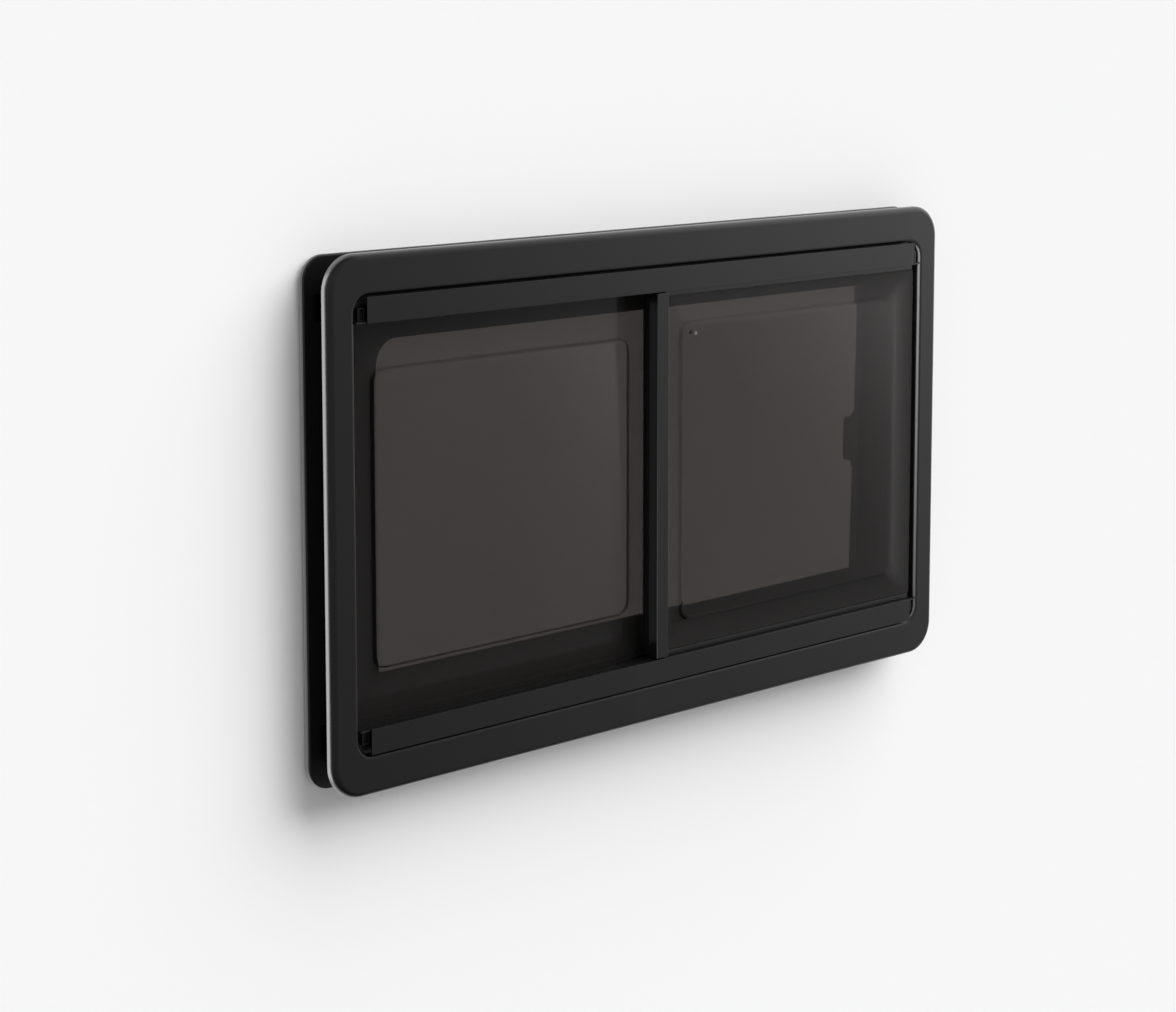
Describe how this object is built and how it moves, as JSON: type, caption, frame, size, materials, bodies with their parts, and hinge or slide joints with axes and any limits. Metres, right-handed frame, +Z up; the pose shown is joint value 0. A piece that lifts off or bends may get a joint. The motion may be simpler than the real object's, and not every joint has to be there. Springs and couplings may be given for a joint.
{
  "type": "caravan window",
  "caption": "Sliding caravan window: a fixed and a sliding pane of raised tinted acrylic in a rounded black flange, with a clamp ring that grips the wall from inside.",
  "frame": {"origin": "on the back face of the outer flange, in the middle of its lower band", "axes": "-Y is the outside of the vehicle, +Y the inside, X runs to the right seen from outside, Z up"},
  "size_m": [0.842, 0.0504, 0.492],
  "materials": {
    "satin_black": "satin, very finely grained",
    "inner_black": "satin",
    "coated_aluminium": "satin black coating",
    "track_black": "dull black coating",
    "tinted_acrylic": "smooth, dark grey-brown tint",
    "rubber": "matt",
    "clip_steel": "dull",
    "screw_steel": "bright",
    "latch_black": "satin",
    "plug_clear": "gloss"
  },
  "bodies": {
    "root": {"outer_flange": "satin_black", "frame_body": "inner_black", "clamp_ring": "inner_black", "rear_rail_top": "inner_black", "rear_rail_bottom": "inner_black", "rear_rail_left": "inner_black", "rear_rail_right": "inner_black", "top_cover_strip": "coated_aluminium", "bottom_cover_strip": "coated_aluminium", "sash_stile": "coated_aluminium", "sash_top_rail": "coated_aluminium", "sash_bottom_rail": "coated_aluminium", "sash_right_stile": "coated_aluminium", "top_track": "track_black", "bottom_track": "track_black", "left_jamb": "track_black", "right_jamb": "track_black", "fixed_interlock": "track_black", "track_end_blocks": "track_black", "fixed_pane_outer": "tinted_acrylic", "fixed_pane_inner": "tinted_acrylic", "sash_pane_outer": "tinted_acrylic", "sash_pane_inner": "tinted_acrylic", "fixed_pane_beads": "rubber", "fixed_pane_blocks": "rubber", "interlock_seal": "rubber", "closing_seal": "rubber", "clamp_clips": "clip_steel", "latch_bolt": "clip_steel", "latch_keeper": "clip_steel", "latch_screws": "screw_steel", "clamp_screws": "screw_steel", "latch_plate": "latch_black", "latch_foot": "latch_black", "latch_knob": "latch_black", "vent_plugs": "plug_clear"}
  },
  "joints": []
}
